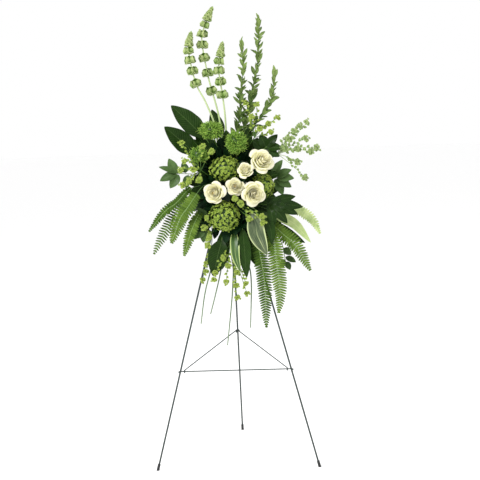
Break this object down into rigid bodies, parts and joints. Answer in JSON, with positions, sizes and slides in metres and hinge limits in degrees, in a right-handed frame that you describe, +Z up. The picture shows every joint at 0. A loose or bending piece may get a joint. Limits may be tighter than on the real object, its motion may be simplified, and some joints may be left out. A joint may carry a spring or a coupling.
{
  "type": "standing funeral spray on wire easel",
  "caption": "Standing one-sided sympathy spray of roses, bells, ferns and mixed foliage in a foam tray, hung on a folding three-legged wire easel.",
  "frame": {"origin": "middle of the bounding box's base, on the floor under the easel", "axes": "+Z up; the flowers face -Y and the rear leg stands at +Y; +X is the viewer's right as the flowers are faced"},
  "size_m": [0.6037, 0.5207, 1.6116],
  "materials": {
    "wire": "dark grey-green paint on steel wire, satin",
    "tip": "black rubber, matt",
    "foam": "fine green floral foam, matt and crumbly",
    "tray": "moulded dark green plastic, satin",
    "bells": "fresh pale green calyces and stem, soft sheen",
    "spike": "fresh mid-green stem and leaves, soft sheen",
    "dark_leaf": "dark green leaves, glossy on the upper face",
    "fern": "mid-green fern fronds, matt",
    "pale_leaf": "pale green leaves, soft sheen",
    "striped_leaf": "green leaves with cream stripes, soft sheen",
    "fuzzy": "bright green fuzzy heads, matt",
    "lime": "lime green florets, matt",
    "cream": "cream petals with yellow-green creases, velvety",
    "filler": "yellow-green florets and thin branches, matt",
    "grass": "thin grey-green hanging stems, matt"
  },
  "bodies": {
    "front_frame": {"bells_left": "bells", "bells_middle": "bells", "bells_right": "bells", "broad_leaf_lower": "dark_leaf", "broad_leaf_rear": "dark_leaf", "broad_leaf_upper": "dark_leaf", "crossbar": "wire", "dark_blade_left": "dark_leaf", "dark_blade_middle": "dark_leaf", "dark_blade_right": "dark_leaf", "fern_left_1": "fern", "fern_left_2": "fern", "fern_left_3": "fern", "fern_left_4": "fern", "fern_low_1": "fern", "fern_low_2": "fern", "fern_right_1": "pale_leaf", "fern_right_2": "fern", "foam_brick": "foam", "foam_tray": "tray", "foot_tip_left": "tip", "foot_tip_right": "tip", "front_leg_left": "wire", "front_leg_right": "wire", "fuzzy_head_1": "fuzzy", "fuzzy_head_2": "fuzzy", "fuzzy_head_3": "fuzzy", "hanging_tails": "grass", "leaf_spray_left": "dark_leaf", "leaf_spray_low_left": "dark_leaf", "leaf_spray_low_right": "dark_leaf", "leaf_spray_right": "dark_leaf", "leaf_spray_upper_right": "dark_leaf", "leafy_spike_left": "spike", "leafy_spike_right": "spike", "leafy_spike_tall": "spike", "lime_head_1": "lime", "lime_head_2": "lime", "lime_head_3": "lime", "lobed_leaf": "dark_leaf", "pale_blade": "pale_leaf", "rose_1": "cream", "rose_2": "cream", "rose_3": "cream", "rose_4": "cream", "rose_5": "cream", "star_spray_centre": "filler", "star_spray_low": "filler", "star_spray_low_left": "filler", "star_spray_right": "filler", "star_spray_top": "filler", "star_spray_upper_left": "filler", "striped_blade_middle": "striped_leaf", "striped_blade_right": "striped_leaf", "top_bar": "wire"},
    "rear_leg": {"back_leg": "wire", "foot_tip_back": "tip"},
    "brace": {"brace_arm_left": "wire", "brace_arm_right": "wire"}
  },
  "joints": [
    {"name": "rear_leg_hinge", "type": "hinge", "parent": "front_frame", "child": "rear_leg", "pos_m": [-0.013, -0.038, 1], "axis": [-1, 0, 0], "range_deg": [0, 24.4]},
    {"name": "brace_hinge", "type": "hinge", "parent": "front_frame", "child": "brace", "pos_m": [-0.013, -0.1365, 0.338], "axis": [-1, 0, 0], "range_deg": [0, 112.2]}
  ],
  "couplings": [
    {"joint": "brace_hinge", "follows": "rear_leg_hinge", "ratio": 4.59}
  ]
}
